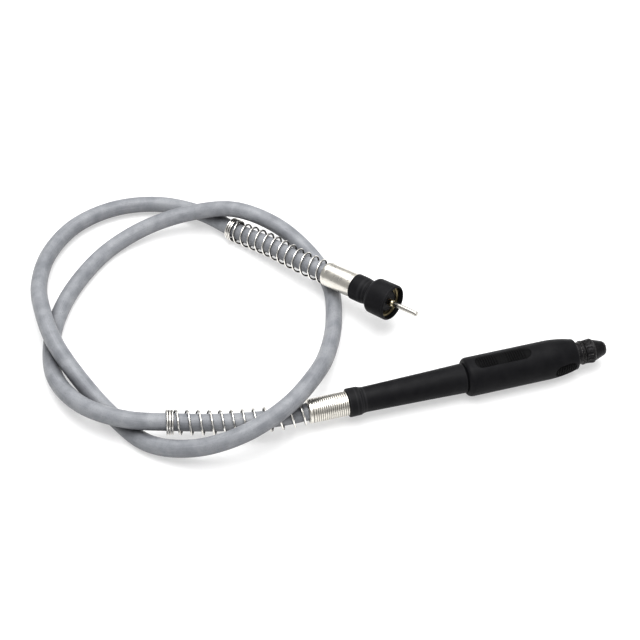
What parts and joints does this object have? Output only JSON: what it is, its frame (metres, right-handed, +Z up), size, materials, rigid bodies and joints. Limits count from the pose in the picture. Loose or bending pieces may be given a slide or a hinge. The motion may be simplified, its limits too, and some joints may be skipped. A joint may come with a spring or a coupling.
{
  "type": "rotary tool with flex shaft",
  "caption": "Flexible drive shaft for a rotary tool: screw-on motor coupling with drive pin, spring-guarded sheathed hose, and slim handpiece with keyless three-jaw chuck.",
  "frame": {"origin": "on the table under the middle of the handpiece", "axes": "+X along the handpiece towards its chuck, +Z up from the table; the hose and the motor coupling lie on the +Y and -X side"},
  "size_m": [0.3262, 0.227, 0.0355],
  "materials": {
    "grey_sheath": "satin",
    "black_plastic": "satin",
    "nickel": "polished",
    "spring_steel": "polished",
    "machined_steel": "fine turned",
    "bearing_steel": "ground",
    "jaw_steel": "ground",
    "black_oxide": "satin",
    "brass": "machined",
    "bronze": "sintered"
  },
  "bodies": {
    "root": {"hose_sheath": "grey_sheath", "hose_liner": "machined_steel", "flexible_core": "machined_steel", "motor_spring": "spring_steel", "handpiece_spring": "spring_steel", "motor_ferrule": "nickel", "motor_nipple": "machined_steel", "connector_body": "black_plastic", "cap_retaining_ring": "spring_steel", "pin_bush": "bronze", "handpiece_ferrule": "nickel", "handpiece_nipple": "machined_steel", "handpiece_tube": "black_plastic", "grip_housing": "black_plastic", "wave_washer": "spring_steel", "outer_spacer": "machined_steel", "rear_bearing_outer_race": "bearing_steel", "front_bearing_outer_race": "bearing_steel"},
    "coupling_cap": {"coupling_cap": "black_plastic", "thread_insert": "brass"},
    "drive_pin": {"drive_pin": "machined_steel"},
    "spindle": {"spindle": "machined_steel", "spindle_circlip": "spring_steel", "inner_spacer": "machined_steel", "rear_bearing_inner_race": "bearing_steel", "front_bearing_inner_race": "bearing_steel", "core_tip": "machined_steel", "chuck_body": "black_oxide"},
    "rear_ball_cage": {"rear_bearing_ball_cage": "bearing_steel"},
    "front_ball_cage": {"front_bearing_ball_cage": "bearing_steel"},
    "chuck_sleeve": {"chuck_sleeve": "black_oxide"},
    "jaw_1": {"jaw_1": "jaw_steel"},
    "jaw_2": {"jaw_2": "jaw_steel"},
    "jaw_3": {"jaw_3": "jaw_steel"}
  },
  "joints": [
    {"name": "spindle_spin", "type": "hinge", "parent": "root", "child": "spindle", "pos_m": [0, 0, 0.01165], "axis": [1, 0, 0], "continuous": true},
    {"name": "pin_spin", "type": "hinge", "parent": "root", "child": "drive_pin", "pos_m": [-0.0535, 0.0981, 0.0182], "axis": [-0.5847, 0.8019, -0.1225], "continuous": true},
    {"name": "rear_cage_spin", "type": "hinge", "parent": "root", "child": "rear_ball_cage", "pos_m": [0, 0, 0.01165], "axis": [1, 0, 0], "continuous": true},
    {"name": "front_cage_spin", "type": "hinge", "parent": "root", "child": "front_ball_cage", "pos_m": [0, 0, 0.01165], "axis": [1, 0, 0], "continuous": true},
    {"name": "cap_spin", "type": "hinge", "parent": "root", "child": "coupling_cap", "pos_m": [-0.0535, 0.0981, 0.0182], "axis": [0.5847, -0.8019, 0.1225], "continuous": true},
    {"name": "sleeve_turn", "type": "hinge", "parent": "spindle", "child": "chuck_sleeve", "pos_m": [0.08, 0, 0.01165], "axis": [1, 0, 0], "range_deg": [0, 1080]},
    {"name": "jaw_1_slide", "type": "slide", "parent": "spindle", "child": "jaw_1", "axis": [0.9659, 0, -0.2588], "range_m": [-0.0048, 0]},
    {"name": "jaw_2_slide", "type": "slide", "parent": "spindle", "child": "jaw_2", "axis": [0.9659, 0.2241, 0.1294], "range_m": [-0.0048, 0]},
    {"name": "jaw_3_slide", "type": "slide", "parent": "spindle", "child": "jaw_3", "axis": [0.9659, -0.2241, 0.1294], "range_m": [-0.0048, 0]}
  ],
  "couplings": [
    {"joint": "pin_spin", "follows": "spindle_spin", "ratio": 1},
    {"joint": "rear_cage_spin", "follows": "spindle_spin", "ratio": 0.39},
    {"joint": "front_cage_spin", "follows": "spindle_spin", "ratio": 0.39},
    {"joint": "jaw_1_slide", "follows": "sleeve_turn", "m_per_rad": -0.00025465},
    {"joint": "jaw_2_slide", "follows": "sleeve_turn", "m_per_rad": -0.00025465},
    {"joint": "jaw_3_slide", "follows": "sleeve_turn", "m_per_rad": -0.00025465}
  ]
}
